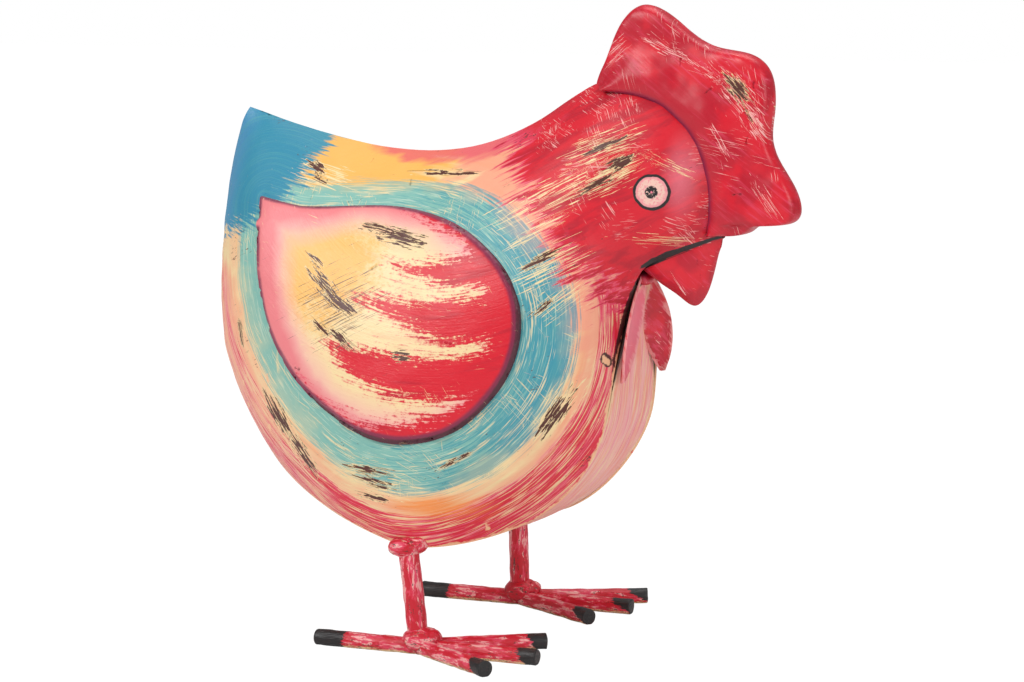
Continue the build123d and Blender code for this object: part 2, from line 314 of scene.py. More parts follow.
@dataclass(frozen=True)
class ShellPaint:
    """Artists' acrylic on primed mild steel, dry-brushed in coats: satin, with bristle grooves.

    The eye sees streaks of one coat broken over another, chips to dark primer and a soft sheen.
    """

    name: str = "brushed_acrylic_on_steel_shell"
    bristle: float = 0.8
    stroke: float = 26.0
    roughness: float = 0.42

    def build(self) -> bpy.types.Material:
        """Builds the material of the side shells."""
        g = PaintGraph(bpy.data.materials.new(self.name))
        place, flow = g.place(), g.flow()
        around = g.grain(flow, (self.stroke, self.stroke, self.bristle), 4.0, 0.7, bend=0.15)
        broad = g.grain(flow, (44.0, 44.0, 5.0), 3.0, 0.55, shift=2.0, bend=0.3)
        neck = g.grain(place, (24.0, 9.0, 1.15), 3.0, 0.62, (0.0, 27.0, 0.0), 5.0, 0.2)
        neck_broad = g.grain(place, (30.0, 14.0, 5.0), 3.0, 0.55, (0.0, 27.0, 0.0), 8.0, 0.3)
        cloud = g.grain(place, (22.0, 22.0, 22.0), 3.0, 0.55, shift=9.0)

        colour = g.over(Paint.CREAM, Paint.PEACH, g.window(cloud, 0.44, 0.68, 0.7))
        colour = g.over(colour, Paint.GOLD, g.ragged(g.level("gold"), broad, 34.0, 10.0), 0.9)
        colour = g.over(colour, Paint.SALMON, g.ragged(g.level("salmon"), broad, 34.0, 12.0), 0.8)
        colour = g.over(colour, Paint.SALMON, g.ragged(g.level("blush"), neck_broad, 56.0, 14.0), 0.85)
        colour = self.belly(g, colour, around, broad)
        colour = self.teal(g, colour, around, broad, cloud, place)
        colour = self.tail(g, colour, around, place)
        ridge = g.ragged(g.level("ridge"), neck_broad, 18.0, 7.0)
        colour = g.over(colour, Paint.ROSE, ridge, 0.75)
        colour = self.head(g, colour, neck, neck_broad, cloud)
        fleck = g.grain(place, (3.4, 3.4, 0.8), 3.0, 0.7, (0.0, 27.0, 0.0), 14.0)
        dirt = g.blend(cloud, 0.5, fleck, 0.7)
        colour = g.over(colour, Paint.PRIMER, g.window(dirt, 0.765, 0.785, 0.9))
        colour = scratched(g, colour, place, g.window(g.level("red"), 4.0, 20.0))
        colour, _ = torn(g, colour, "scuff", Paint.CREAM, None, (14.0, 0.8, 40.0), 0.14, 0.15)
        # Painted shadow: black strip along the sheet's edge behind the wattles, where the gap there lies
        # in shade.
        hidden = g.ragged(g.level("hidden"), neck, 1.6, 0.5)
        colour = g.over(colour, Paint.BLACK, hidden, 0.92)
        seam = g.ragged(g.level("rim"), g.grain(place, (5.0, 5.0, 5.0), 3.0, 0.6, shift=3.0), 6.5, 0.8)
        colour = g.over(colour, Paint.PEACH, seam)
        colour, bare = torn(g, colour, "chip", Paint.PRIMER, Paint.CREAM)
        colour = self.face(g, colour, place)
        satin = g.maths("MULTIPLY_ADD", around, 0.22, self.roughness - 0.08)
        relief = g.maths("MULTIPLY_ADD", bare, -0.9, g.maths("ADD", around, neck))
        return g.finish(colour, satin, relief, 0.18)

    def belly(self, g: PaintGraph, colour: Socket, around: Socket, broad: Socket) -> Socket:
        """Red and pink strokes that follow the wing's outline under the belly and up the chest."""
        level = g.level("belly")
        colour = g.over(colour, Paint.PINK, g.ragged(g.maths("ADD", level, 4.0), broad, 70.0, 12.0), 0.8)
        mixed = g.blend(broad, 0.3, around, 0.7)
        colour = g.over(colour, Paint.ROSE, g.ragged(g.maths("ADD", level, 3.5), mixed, 80.0, 3.0))
        inner = g.ragged(g.maths("SUBTRACT", level, 1.0), mixed, 80.0, 3.0)
        colour = g.over(colour, Paint.RED, inner, 0.85)
        lines = g.grain(g.flow(), (20.0, 20.0, 0.7), 2.0, 0.6, shift=6.0, bend=0.2)
        dry = g.maths("MULTIPLY", g.window(lines, 0.55, 0.61, 0.8), g.window(level, -16.0, -4.0))
        colour = g.over(colour, Paint.CREAM, dry)
        patch = g.ragged(g.level("patch"), around, 18.0, 6.0)
        return g.over(colour, Paint.ORANGE, patch, 0.85)

    def teal(self, g: PaintGraph, colour: Socket, around: Socket, broad: Socket, cloud: Socket,
             place: Socket) -> Socket:
        """The blue-green band around the wing."""
        shade = g.maths("MULTIPLY_ADD", g.level("deep"), 0.008, around)
        mixed = g.over(Paint.TURQUOISE, Paint.TEAL, g.window(shade, 0.44, 0.62))
        deep = g.window(g.maths("MULTIPLY_ADD", broad, 26.0, g.level("deep")), 18.0, 30.0, 0.75)
        mixed = g.over(mixed, Paint.LAGOON, deep)
        lines = g.grain(g.flow(), (17.0, 17.0, 0.7), 2.0, 0.6, shift=11.0, bend=0.2)
        pale = g.window(lines, 0.55, 0.64, 0.6)
        mixed = g.over(mixed, Paint.MIST, pale)
        mixed = g.over(mixed, Paint.CREAM, g.window(g.blend(broad, 0.5, lines, 0.5), 0.56, 0.63, 0.7))
        mixed = scratched(g, mixed, place, 0.9, Paint.CREAM, -50.0, 24.0)
        worn_in = g.window(g.maths("MULTIPLY_ADD", cloud, 40.0, g.level("teal")), 18.0, 30.0)
        brushed = g.ragged(g.level("teal"), around, 26.0, 3.0)
        cover = g.maths("MULTIPLY", brushed, g.maths("MULTIPLY_ADD", worn_in, 0.25, 0.75))
        return g.over(colour, mixed, cover)

    def tail(self, g: PaintGraph, colour: Socket, around: Socket, place: Socket) -> Socket:
        """Blue tail corner, with periwinkle towards its rear edge."""
        rub = g.grain(place, (18.0, 9.0, 1.3), 3.0, 0.6, (0.0, -12.0, 0.0), 12.0)
        mixed = g.over(Paint.BLUE, Paint.PERIWINKLE, g.window(g.level("violet"), -8.0, 10.0, 0.75))
        mixed = g.over(mixed, Paint.TEAL, g.window(around, 0.50, 0.66, 0.6))
        return g.over(colour, mixed, g.ragged(g.level("tail"), rub, 36.0, 5.0))

    def head(self, g: PaintGraph, colour: Socket, neck: Socket, neck_broad: Socket,
             cloud: Socket) -> Socket:
        """Red head and neck, whose strokes run out jagged over the shoulder."""
        red = g.over(Paint.RED, Paint.DEEP_RED, g.window(neck_broad, 0.42, 0.62, 0.85))
        red = g.over(red, Paint.ROSE, g.window(cloud, 0.57, 0.74, 0.5))
        # Painted highlight: pink patch on the head's side in front of the eye.
        red = g.over(red, Paint.PINK, g.window(g.level("cheek_highlight"), 0.0, 1.0, 0.55))
        level = g.level("red")
        mixed = g.blend(neck_broad, 0.4, neck, 0.6)
        colour = g.over(colour, Paint.ROSE, g.ragged(g.maths("ADD", level, 5.0), mixed, 80.0, 6.0))
        return g.over(colour, red, g.ragged(level, mixed, 80.0, 3.0))

    def face(self, g: PaintGraph, colour: Socket, place: Socket) -> Socket:
        """Painted eye and mouth line."""
        wobble = g.grain(place, (3.4, 3.4, 3.4), 1.0, 0.5, shift=2.5)
        eye = g.maths("ADD", g.level("eye"), g.maths("MULTIPLY_ADD", wobble, 0.9, -0.45))
        specks = g.grain(place, (1.1, 1.1, 1.1), 2.0, 0.7, shift=7.7)
        iris = g.over(Paint.EYE, Paint.PINK, g.window(specks, 0.50, 0.62, 0.75))
        colour = g.over(colour, Paint.BLACK, g.window(eye, 9.5, 9.2))
        colour = g.over(colour, iris, g.window(eye, 8.1, 7.7))
        iris_edge = g.maths("MULTIPLY", g.window(eye, 8.1, 7.6), g.window(eye, 6.2, 7.4, 0.7))
        colour = g.over(colour, Paint.PINK, iris_edge)
        pupil = g.maths("MULTIPLY", g.window(eye, 3.5, 3.1), g.window(specks, 0.36, 0.42))
        colour = g.over(colour, Paint.BLACK, pupil)
        colour = g.over(colour, Paint.PINK, g.window(eye, 1.1, 0.8))
        mouth = g.maths("ADD", g.level("mouth"), g.maths("MULTIPLY_ADD", wobble, 0.8, -0.4))
        return g.over(colour, Paint.BLACK, g.window(mouth, -0.2, 0.2))


@dataclass(frozen=True)
class WingPaint:
    """Acrylic on a pressed steel panel: cream ground, three red feather strokes, dark outline.

    The eye sees dry strokes that thin out to the left, pink edges and chips to brown primer.
    """

    name: str = "brushed_acrylic_on_steel_wing"
    roughness: float = 0.36

    def build(self) -> bpy.types.Material:
        """Builds the material of the wings."""
        g = PaintGraph(bpy.data.materials.new(self.name))
        place, flow = g.place(), g.flow()
        stroke = g.grain(flow, (18.0, 18.0, 0.9), 3.0, 0.65, bend=0.3)
        broad = g.grain(flow, (34.0, 34.0, 5.0), 2.0, 0.5, shift=3.0, bend=0.3)
        speck = g.grain(place, (2.4, 2.4, 1.6), 3.0, 0.7, shift=5.5)
        cloud = g.grain(place, (18.0, 18.0, 18.0), 3.0, 0.5, shift=1.0)

        colour = g.over(Paint.CREAM, Paint.PEACH, g.window(broad, 0.50, 0.74, 0.5))
        gold = g.ragged(g.level("gold"), g.blend(cloud, 0.5, speck, 0.5), 44.0, 12.0)
        colour = g.over(colour, Paint.GOLD, gold, 0.85)
        pink = g.ragged(g.level("pink"), cloud, 10.0, 12.0)
        colour = g.over(colour, Paint.PALE_PINK, pink, 0.9)
        pinker = g.ragged(g.maths("SUBTRACT", g.level("pink"), 6.5), cloud, 8.0, 8.0)
        colour = g.over(colour, Paint.ROSE, pinker, 0.6)
        mixed = g.blend(speck, 0.45, stroke, 0.55)
        blush = g.ragged(g.maths("ADD", g.level("feather"), 3.0), mixed, 54.0, 4.0)
        colour = g.over(colour, Paint.ROSE, blush, 0.6)
        red = g.over(Paint.RED, Paint.DEEP_RED, g.window(broad, 0.48, 0.72, 0.7))
        colour = g.over(colour, red, g.ragged(g.maths("ADD", g.level("feather"), 1.6), mixed, 38.0, 2.5))
        edge = g.window(g.maths("MULTIPLY_ADD", cloud, 1.6, g.level("outline")), 0.2, 2.2)
        colour = g.over(colour, Paint.PLUM, edge, 0.85)
        line = g.window(g.maths("MULTIPLY_ADD", cloud, 1.2, g.level("outline")), 2.4, 3.4, 0.7)
        colour = g.over(colour, Paint.BLACK, line)
        colour = scratched(g, colour, place, 0.5, Paint.CREAM, -18.0)
        fine = g.grain(place, (17.0, 6.0, 0.40), 2.0, 0.6, (0.0, 27.0, 0.0), 2.2, 0.15)
        hatch = g.maths("MULTIPLY_ADD", g.level("hatch"), 0.22, fine)
        colour = g.over(colour, Paint.GREY, g.window(hatch, 0.745, 0.78, 0.85))
        colour, bare = torn(g, colour, "chip", Paint.PRIMER, Paint.CREAM, (9.0, 1.0, 40.0))
        satin = g.maths("MULTIPLY_ADD", stroke, 0.2, self.roughness - 0.06)
        relief = g.maths("MULTIPLY_ADD", bare, -0.9, g.maths("ADD", stroke, speck))
        return g.finish(colour, satin, relief, 0.14)


@dataclass(frozen=True)
class RedPaint:
    """Red acrylic on hammered sheet: near solid, with rose clouds and pale scratches.

    The eye sees an even satin red, with painted shade at the comb's crease, a painted pink highlight along
    the comb's rounded base and on the near wattle's front, and rubbed pale wattle rims.
    """

    name: str = "red_acrylic_on_steel"
    pale: float = 0.0
    scratches: float = 0.8
    turn: float = 40.0

    def build(self) -> bpy.types.Material:
        """Builds the red material."""
        g = PaintGraph(bpy.data.materials.new(self.name))
        place = g.place()
        cloud = g.grain(place, (18.0, 12.0, 18.0), 3.0, 0.5, shift=2.4)
        brush = g.grain(place, (24.0, 7.0, 1.5), 3.0, 0.6, (0.0, self.turn, 0.0), 4.0)
        colour = g.over(Paint.RED, Paint.DEEP_RED, g.window(cloud, 0.40, 0.58, 0.9))
        colour = g.over(colour, Paint.ROSE, g.window(g.maths("ADD", brush, self.pale), 0.54, 0.74, 0.55))
        # Painted highlight: pink where this level is high, on the comb's rounded base and on the near
        # wattle's forward face.
        colour = g.over(colour, Paint.PINK, g.window(g.level("high"), 0.3, 1.0, 0.75))
        colour = scratched(g, colour, place, self.scratches, Paint.PALE_PINK, self.turn)
        rubbed = g.ragged(g.level("rim"), brush, 9.0, 1.5)
        colour = g.over(colour, Paint.PALE_PINK, rubbed, 0.6)
        # Painted shade: deep red, then plum, darken the comb where it meets the head, standing in for the
        # shadow in that crease.
        colour = g.over(colour, Paint.DEEP_RED, g.window(g.level("crease"), -6.0, 1.0, 0.7))
        colour = g.over(colour, Paint.PLUM, g.window(g.level("crease"), -0.5, 2.6, 0.8))
        colour, _ = torn(g, colour, "scuff", Paint.PALE_PINK, None, (9.0, 0.8, 40.0), 0.13, 0.14)
        colour, bare = torn(g, colour, "chip", Paint.PRIMER, Paint.CREAM)
        colour = g.over(colour, Paint.BLACK, g.window(g.level("mouth"), -0.2, 0.2))
        satin = g.maths("MULTIPLY_ADD", brush, 0.22, 0.28)
        return g.finish(colour, satin, g.maths("MULTIPLY_ADD", bare, -0.9, brush), 0.14)


@dataclass(frozen=True)
class BreastPaint:
    """Salmon and pink acrylic on the breast plate, brushed down its length over cream.

    The eye sees long pale streaks of pink, peach and cream beside each other.
    """

    name: str = "salmon_acrylic_on_steel"

    def build(self) -> bpy.types.Material:
        """Builds the material of the breast plate."""
        g = PaintGraph(bpy.data.materials.new(self.name))
        place, flow = g.place(), g.flow()
        down = g.grain(flow, (34.0, 1.0, 8.0), 3.0, 0.62, bend=0.2)
        broad = g.grain(flow, (40.0, 6.0, 9.0), 3.0, 0.5, shift=4.0, bend=0.3)
        colour = g.over(Paint.SALMON, Paint.PALE_PINK, g.window(broad, 0.42, 0.56, 0.85))
        colour = g.over(colour, Paint.PINK, g.window(down, 0.48, 0.58, 0.8))
        colour = g.over(colour, Paint.ROSE, g.window(down, 0.58, 0.66, 0.8))
        light = g.grain(flow, (26.0, 1.3, 8.0), 3.0, 0.6, shift=7.0, bend=0.2)
        colour = g.over(colour, Paint.CREAM, g.window(light, 0.55, 0.62, 0.85))
        patch = g.ragged(g.level("rim"), g.grain(place, (6.0, 6.0, 6.0), 3.0, 0.6), 9.0, 2.0)
        colour = g.over(colour, Paint.CREAM, patch, 0.7)
        # Painted shadow: black strip along the plate's edge behind the wattles, where the gap there lies
        # in shade.
        hidden = g.ragged(g.level("hidden"), down, 1.6, 0.5)
        colour = g.over(colour, Paint.BLACK, hidden, 0.92)
        specks = g.grain(place, (2.0, 2.0, 3.4), 3.0, 0.7, shift=3.0)
        rusty = g.maths("MULTIPLY_ADD", g.level("rim"), 0.02, specks)
        colour = g.over(colour, Paint.PRIMER, g.window(rusty, 0.70, 0.73))
        return g.finish(colour, 0.45, down, 0.2)


@dataclass(frozen=True)
class RodPaint:
    """Red acrylic rubbed over cream on round steel bar, with black ends for claws.

    The eye sees blotchy rose and red, cream along the underside, and brown specks at the welds.
    """

    name: str = "rubbed_acrylic_on_bar"

    def build(self) -> bpy.types.Material:
        """Builds the material of the legs, toes and welds."""
        g = PaintGraph(bpy.data.materials.new(self.name))
        place, flow = g.place(), g.flow()
        blotch = g.grain(flow, (13.0, 4.5, 4.5), 4.0, 0.65, shift=1.2, bend=0.4)
        streak = g.grain(flow, (7.0, 1.3, 1.3), 3.0, 0.7, shift=6.0, bend=0.6)
        speck = g.grain(place, (1.7, 1.7, 1.7), 3.0, 0.7, shift=6.0)
        colour = g.over(Paint.RED, Paint.DEEP_RED, g.window(blotch, 0.56, 0.44, 0.5))
        colour = g.over(colour, Paint.ROSE, g.window(blotch, 0.45, 0.56, 0.85))
        pale = g.blend(blotch, 0.6, streak, 0.5)
        colour = g.over(colour, Paint.PALE_PINK, g.window(pale, 0.580, 0.62, 0.9))
        under = g.ragged(g.level("under"), streak, 7.0, 0.8)
        colour = g.over(colour, Paint.CREAM, under)
        grime = g.blend(speck, 0.45, streak, 0.6)
        grime = g.maths("MULTIPLY_ADD", g.level("under"), 0.012, grime)
        colour = g.over(colour, Paint.PRIMER, g.window(grime, 0.580, 0.605, 0.95))
        claw = g.ragged(g.level("claw"), streak, 9.0, 0.5)
        colour = g.over(colour, Paint.BLACK, claw)
        rough = g.maths("MULTIPLY_ADD", speck, 0.25, 0.30)
        return g.finish(colour, rough, g.maths("ADD", blotch, streak), 0.35)


# --------------------------------------------------------------------------------------------
# Mesh work
# --------------------------------------------------------------------------------------------


def merged_copy(node: bpy.types.Object, longest: float) -> BMesh:
    """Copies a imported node, joins its loose triangles and cuts its long edges.

    Args:
        node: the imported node.
        longest: longest edge that stays whole, in millimetres.

    Returns:
        The bmesh.
    """
    bm = bmesh.new()
    bm.from_mesh(node.data)
    bmesh.ops.remove_doubles(bm, verts=bm.verts, dist=MERGE * MM)
    refine(bm, longest)
    return bm


def refine(bm: BMesh, longest: float) -> None:
    """Cuts edges until none is longer than the given millimetres, in triangles throughout."""
    for _ in range(8):
        long_edges = [e for e in bm.edges if e.calc_length() > longest * MM]
        if not long_edges:
            break
        bmesh.ops.subdivide_edges(bm, edges=long_edges, cuts=1)
        bmesh.ops.triangulate(bm, faces=[f for f in bm.faces if len(f.verts) > 3])
    bm.normal_update()


def unit(values: np.ndarray) -> np.ndarray:
    """Values held between 0 and 1."""
    return np.clip(values, 0.0, 1.0)


def surface(node: bpy.types.Object) -> BVHTree:
    """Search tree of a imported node's surface."""
    bm = bmesh.new()
    bm.from_mesh(node.data)
    tree = BVHTree.FromBMesh(bm)
    bm.free()
    return tree


def points_of(bm: BMesh) -> np.ndarray:
    """Vertex places in millimetres, one row each."""
    bm.verts.ensure_lookup_table()
    bm.verts.index_update()
    return np.array([v.co for v in bm.verts], float).reshape(-1, 3) / MM


def hammer(bm: BMesh, outward, depth: float, size: float, seed: float,
           rim: np.ndarray | None = None) -> None:
    """Moves a sheet's two faces together into shallow hammer dents.

    Args:
        bm: the sheet.
        outward: function that gives a vertex's outward direction.
        depth: depth of the dents, in millimetres.
        size: width of a dent, in millimetres.
        seed: offset of the pattern.
        rim: distance of each vertex from a joint where the dents fade out, in millimetres.
    """
    fade = np.ones(len(bm.verts)) if rim is None else unit((rim - 4.0) / 14.0)
    bm.normal_update()
    moves = []
    for vert, share in zip(bm.verts, fade):
        where = vert.co * (PER_MM / size) + Vector((seed, seed, seed))
        fine = vert.co * (PER_MM / (size * 0.42)) + Vector((seed, 0.0, seed))
        push = noise.noise(where) + 0.35 * noise.noise(fine)
        moves.append(outward(vert) * (push * depth * share * MM))
    for vert, move in zip(bm.verts, moves):
        vert.co += move


def store(mesh: bpy.types.Mesh, levels: Levels) -> None:
    """Stores paint levels and flow on a mesh's vertices.

    Args:
        mesh: the mesh.
        levels: name to one number, or one vector, a vertex.
    """
    for name, values in levels.items():
        wide = values.ndim == 2
        layer = mesh.attributes.new(name, "FLOAT_VECTOR" if wide else "FLOAT", "POINT")
        layer.data.foreach_set("vector" if wide else "value", values.astype(np.float32).ravel())


def make_piece(bm: BMesh, node: str, material: bpy.types.Material,
               levels: Levels, sharp: float = 50.0) -> bpy.types.Object:
    """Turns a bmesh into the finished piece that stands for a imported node.

    Args:
        bm: the mesh, in place.
        node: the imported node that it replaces.
        material: its finish.
        levels: paint levels.
        sharp: angle over which an edge stays crisp, in degrees.

    Returns:
        The object.
    """
    for face in bm.faces:
        face.smooth = True
    for edge in bm.edges:
        edge.smooth = len(edge.link_faces) != 2 or edge.calc_face_angle(0.0) < math.radians(sharp)
    mesh = bpy.data.meshes.new("painted_" + node)
    bm.to_mesh(mesh)
    bm.free()
    store(mesh, levels)
    mesh.materials.append(material)
    piece = bpy.data.objects.new("painted_" + node, mesh)
    bpy.context.scene.collection.objects.link(piece)
    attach(piece, "root")
    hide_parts(node)
    LOG.info("%s: %d faces", piece.name, len(mesh.polygons))
    return piece


def ribbon(points: np.ndarray, path: list[tuple[float, float, float]]) -> np.ndarray:
    """How far inside a brush stroke each point is, in side view.

    Args:
        points: places in millimetres.
        path: x, z and half width along the stroke, in millimetres.

    Returns:
        Half width less distance, in millimetres.
    """
    best = np.full(len(points), -1e3)
    flat = points[:, (0, 2)]
    for (xa, za, wa), (xb, zb, wb) in zip(path, path[1:]):
        run = np.array([xb - xa, zb - za])
        t = unit(((flat - (xa, za)) @ run) / (run @ run))
        gap = np.hypot(*(flat - (xa, za) - t[:, None] * run).T)
        best = np.maximum(best, wa + (wb - wa) * t - gap)
    return best


def marks(points: np.ndarray, name: str, spots: tuple, side: float) -> Levels:
    """Level of each point in the nearest mark, and its place along and across that mark.

    Args:
        points: places in millimetres.
        name: name of the level.
        spots: x, z, half length, half width and turn in degrees of each mark in side view.
        side: -1 for the right side; the left side's marks sit elsewhere.

    Returns:
        The level, 1 in the middle to -1 outside, and the coordinates in metres.
    """
    level = np.full(len(points), -1.0)
    at = np.zeros((len(points), 3))
    for k, (x, z, length, width, turn) in enumerate(spots):
        if side > 0:
            x, z, turn = x + 9.0 * math.sin(k * 2.3), z + 8.0 * math.cos(k * 1.7), -turn
        c, s = math.cos(math.radians(turn)), math.sin(math.radians(turn))
        dx, dz = points[:, 0] - x, points[:, 2] - z
        along, across = dx * c + dz * s, dz * c - dx * s
        inside = 1.0 - (along / length) ** 2 - (across / width) ** 2
        nearer = inside > level
        level = np.where(nearer, inside, level)
        own = np.stack([along, across, np.full(len(points), 50.0 * k)], 1) * MM
        at = np.where(nearer[:, None], own, at)
    return {name: level, name + "_at": at}


def rim_gap(bm: BMesh, points: np.ndarray, sharp: float = 60.0) -> np.ndarray:
    """Distance of each vertex from the sheet's cut edges, in millimetres."""
    rim = {v.index for e in bm.edges if e.calc_face_angle(0.0) > math.radians(sharp) for v in e.verts}
    return gaps_to(bm, rim) / MM


def gaps_to(bm: BMesh, chosen: set[int] | list[int]) -> np.ndarray:
    """Distance of each vertex from the nearest of the chosen ones, in metres."""
    tree = KDTree(len(chosen))
    for k in chosen:
        tree.insert(bm.verts[k].co, k)
    tree.balance()
    return np.array([tree.find(v.co)[2] for v in bm.verts])


def hidden_strip(points: np.ndarray, rim: np.ndarray, width: float) -> np.ndarray:
    """Level of the black strip behind the wattles, beside the breast plate's joint: painted shadow of the
    gap behind the wattles.

    Args:
        points: places in millimetres.
        rim: distance from the sheet's cut edges, in millimetres.
        width: width of the strip at its middle, in millimetres.

    Returns:
        Distance inside the strip, in millimetres.
    """
    share = 1.0 - ((points[:, 2] - 157.0) / 27.0) ** 2
    front = np.where(points[:, 0] > 55.0, 0.0, 40.0)
    return width * share - rim - front


@dataclass
class Body:
    """Side shells and breast plate, with the zones of colour that run round the wing."""

    nodes: dict
    wing_centre: tuple[float, float] = (-34.0, 160.0)
    turning: float = 80.0
    band: float = 20.5
    band_swing: float = 6.5
    band_turn: float = -30.0
    tail_tip: tuple[float, float] = (-141.5, 259.5)
    eye: tuple[float, float] = (88.8, 225.6)
    mouth: tuple = ((78.5, 188.0, 0.5), (85.0, 191.4, 1.5), (93.0, 195.0, 1.4), (117.0, 204.0, 0.7))
    chips: tuple = (
        (-92, 232, 9, 3.0, -22), (-88, 226, 7, 2.2, -18), (-121, 151, 9, 3.4, -76),
        (-96, 111, 17, 6.5, -55), (-82, 93, 17, 5.5, -50), (-40, 90, 17, 3.0, -6),
        (-37, 84, 15, 3.0, -10), (-40, 76, 14, 2.6, -6), (49, 119, 17, 5.0, 56),
        (66, 247, 15, 2.4, 24), (73, 239, 10, 4.0, 28), (63, 229, 13, 3.2, 26),
        (40, 193, 12, 3.0, 27), (-24, 231, 30, 1.8, 2), (3, 96, 12, 2.0, 30), (44, 171, 10, 2.0, 40),
    )
    scuffs: tuple = (
        (62, 246, 26, 10, 22), (70, 234, 22, 10, 26), (44, 224, 24, 12, 27), (44, 192, 22, 12, 27),
        (52, 174, 16, 10, 40), (88, 203, 18, 3.5, -4), (22, 214, 16, 8, 27), (-87, 228, 20, 9, -14),
        (96, 239, 20, 3.0, -26), (50, 122, 20, 9, 56), (-92, 105, 26, 11, -53), (-38, 84, 26, 13, -6),
        (34, 205, 24, 4, 30),
    )

    def outward(self, side: float):
        """Gives the function that points away from the inside of one side shell."""
        def direction(vert: bmesh.types.BMVert) -> Vector:
            away = Vector((vert.co.x * 0.25, vert.co.y + side * 0.004, (vert.co.z - 0.16) * 0.5))
            return vert.normal if vert.normal.dot(away) > 0 else -vert.normal
        return direction

    def levels(self, bm: BMesh, side: float, wing: BVHTree) -> Levels:
        """Works out the paint levels of a side shell.

        Args:
            bm: the shell.
            side: -1 for right, 1 for left.
            wing: the wing on that side.

        Returns:
            Levels by name.
        """
        p = points_of(bm)
        x, y, z = p.T
        gap = np.array([wing.find_nearest(v.co)[3] / MM for v in bm.verts])
        theta = np.arctan2(z - self.wing_centre[1], x - self.wing_centre[0])
        flow = np.stack([np.cos(theta) * self.turning, np.sin(theta) * self.turning, gap], 1) * MM
        edge = self.band + self.band_swing * np.cos(theta - math.radians(self.band_turn))
        outer = gap - edge
        low = unit((206.0 - z) / 30.0)
        ring = unit((outer - 3.0) / 9.0) * low
        density = 7.0 * np.cos(theta + math.radians(62.0)) - 5.0
        red = (x - 10.0) * 0.742 + (z - 245.0) * 0.671
        tip = np.hypot(x - self.tail_tip[0], (z - self.tail_tip[1]) * 0.85)
        top = unit((z - 225.0) / 10.0)
        rim = rim_gap(bm, p)
        # Level of the painted pink highlight on the head's side in front of the eye.
        cheek_highlight = np.hypot((x - 101.0) * 1.6, (z - 232.0) * 0.62)
        return {
            "flow": flow,
            "teal": -outer,
            "deep": 18.0 * np.cos(theta - math.radians(6.0)) - 8.0 + 0.25 * gap,
            "red": red,
            "blush": red + 28.0,
            "salmon": (outer - 6.0) * low - 40.0 * (1.0 - low),
            "belly": density * ring - 45.0 * (1.0 - ring),
            "gold": np.maximum(
                np.where(z > 205.0, 15.0 - np.abs(x + 72.0) * 0.32 + (gap - 18.0) * 0.3, -40.0),
                -4.0 - np.abs(outer - 5.0) * 0.8),
            "tail": 52.0 - tip,
            "violet": -137.0 - x,
            "ridge": (10.0 - np.abs(y)) * top - 20.0 * (1 - top) - 0.35 * np.clip(-x - 45.0, 0, 60),
            "patch": 5.0 - np.hypot((x + 8.0) * 0.30, z - 73.0),
            "cheek_highlight": unit(1.0 - cheek_highlight / 17.0),
            "eye": np.hypot(x - self.eye[0], z - self.eye[1]) * 1.07,
            "mouth": ribbon(p, list(self.mouth)),
            "rim": 1.2 - rim - 6.0 * unit((z - 150.0) / 40.0),
            "hidden": hidden_strip(p, rim, 3.6),
            **marks(p, "chip", self.chips, side),
            **marks(p, "scuff", self.scuffs, side),
        }

    def build(self) -> None:
        """Builds both side shells and the breast plate."""
        paint = ShellPaint().build()
        for name, side in SIDES:
            bm = merged_copy(self.nodes["side_shell_" + name], 2.6)
            levels = self.levels(bm, side, surface(self.nodes["wing_" + name]))
            hammer(bm, self.outward(side), 0.75, 17.0, 3.0 * side, rim_gap(bm, points_of(bm)))
            make_piece(bm, "side_shell_" + name, paint, levels)
        self.breast()

    def breast(self) -> None:
        """Builds the breast plate, whose brush marks run down its length."""
        bm = merged_copy(self.nodes["breast_plate"], 3.0)
        p = points_of(bm)
        x, y, z = p.T
        along = np.degrees(np.arctan2(z - 160.0, x + 25.0)) * 1.5
        flow = np.stack([along, y, np.zeros(len(p))], 1) * MM
        rim = rim_gap(bm, p)
        levels = {"flow": flow, "rim": 1.5 - rim, "hidden": hidden_strip(p, rim, 2.6)}
        hammer(bm, lambda v: v.normal if v.normal.dot(v.co - Vector((-0.02, 0, 0.16))) > 0
               else -v.normal, 0.6, 15.0, 8.0, rim)
        make_piece(bm, "breast_plate", BreastPaint().build(), levels)


